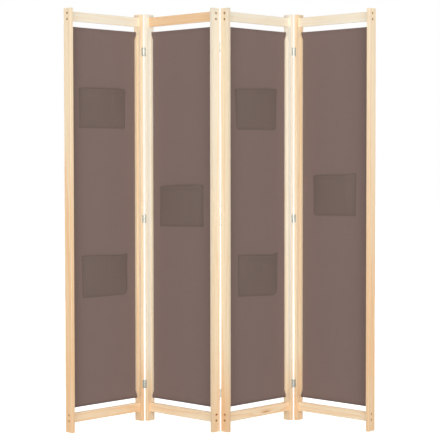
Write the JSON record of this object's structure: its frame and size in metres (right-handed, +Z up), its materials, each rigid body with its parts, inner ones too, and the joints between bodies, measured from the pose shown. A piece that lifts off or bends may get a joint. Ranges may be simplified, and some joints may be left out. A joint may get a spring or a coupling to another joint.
{
  "type": "folding screen",
  "caption": "Zigzag folding room divider of hinged wooden frames with stretched cloth and sewn patch pockets.",
  "frame": {"origin": "on the floor at the middle of the standing screen", "axes": "+Z up, +X along the screen from the first panel to the last, -Y towards the front"},
  "size_m": [1.2472, 0.3124, 1.7],
  "materials": {
    "pine": "clear satin",
    "panel_cloth": "matte weave",
    "pocket_cloth": "matte weave",
    "nickel": "satin",
    "bronzed_steel": "dull",
    "steel": "dull"
  },
  "bodies": {
    "panel_1": {"panel_1_left_stile": "pine", "panel_1_right_stile": "pine", "panel_1_top_rail": "pine", "panel_1_bottom_rail": "pine", "panel_1_frame_screws": "bronzed_steel", "panel_1_fabric": "panel_cloth", "panel_1_left_strip": "pine", "panel_1_right_strip": "pine", "panel_1_strip_brads": "steel", "panel_1_upper_pocket": "pocket_cloth", "panel_1_lower_pocket": "pocket_cloth", "hinge_1_2_left_leaves": "nickel", "hinge_1_2_pins": "nickel", "hinge_1_2_left_screws": "nickel"},
    "panel_2": {"panel_2_left_stile": "pine", "panel_2_right_stile": "pine", "panel_2_top_rail": "pine", "panel_2_bottom_rail": "pine", "panel_2_frame_screws": "bronzed_steel", "panel_2_fabric": "panel_cloth", "panel_2_left_strip": "pine", "panel_2_right_strip": "pine", "panel_2_strip_brads": "steel", "panel_2_pocket": "pocket_cloth", "hinge_2_3_left_leaves": "nickel", "hinge_2_3_pins": "nickel", "hinge_2_3_left_screws": "nickel", "hinge_1_2_right_leaves": "nickel", "hinge_1_2_right_screws": "nickel"},
    "panel_3": {"panel_3_left_stile": "pine", "panel_3_right_stile": "pine", "panel_3_top_rail": "pine", "panel_3_bottom_rail": "pine", "panel_3_frame_screws": "bronzed_steel", "panel_3_fabric": "panel_cloth", "panel_3_left_strip": "pine", "panel_3_right_strip": "pine", "panel_3_strip_brads": "steel", "panel_3_upper_pocket": "pocket_cloth", "panel_3_lower_pocket": "pocket_cloth", "hinge_3_4_left_leaves": "nickel", "hinge_3_4_pins": "nickel", "hinge_3_4_left_screws": "nickel", "hinge_2_3_right_leaves": "nickel", "hinge_2_3_right_screws": "nickel"},
    "panel_4": {"panel_4_left_stile": "pine", "panel_4_right_stile": "pine", "panel_4_top_rail": "pine", "panel_4_bottom_rail": "pine", "panel_4_frame_screws": "bronzed_steel", "panel_4_fabric": "panel_cloth", "panel_4_left_strip": "pine", "panel_4_right_strip": "pine", "panel_4_strip_brads": "steel", "panel_4_pocket": "pocket_cloth", "hinge_3_4_right_leaves": "nickel", "hinge_3_4_right_screws": "nickel"}
  },
  "joints": [
    {"name": "fold_1_2", "type": "hinge", "parent": "panel_2", "child": "panel_1", "pos_m": [-0.31309, 0.12713, 0.85], "axis": [0, 0, 1], "range_deg": [-91, 89]},
    {"name": "fold_2_3", "type": "hinge", "parent": "panel_2", "child": "panel_3", "pos_m": [0, -0.12713, 0.85], "axis": [0, 0, 1], "range_deg": [-91, 89]},
    {"name": "fold_3_4", "type": "hinge", "parent": "panel_3", "child": "panel_4", "pos_m": [0.31309, 0.12713, 0.85], "axis": [0, 0, 1], "range_deg": [-89, 91]}
  ]
}
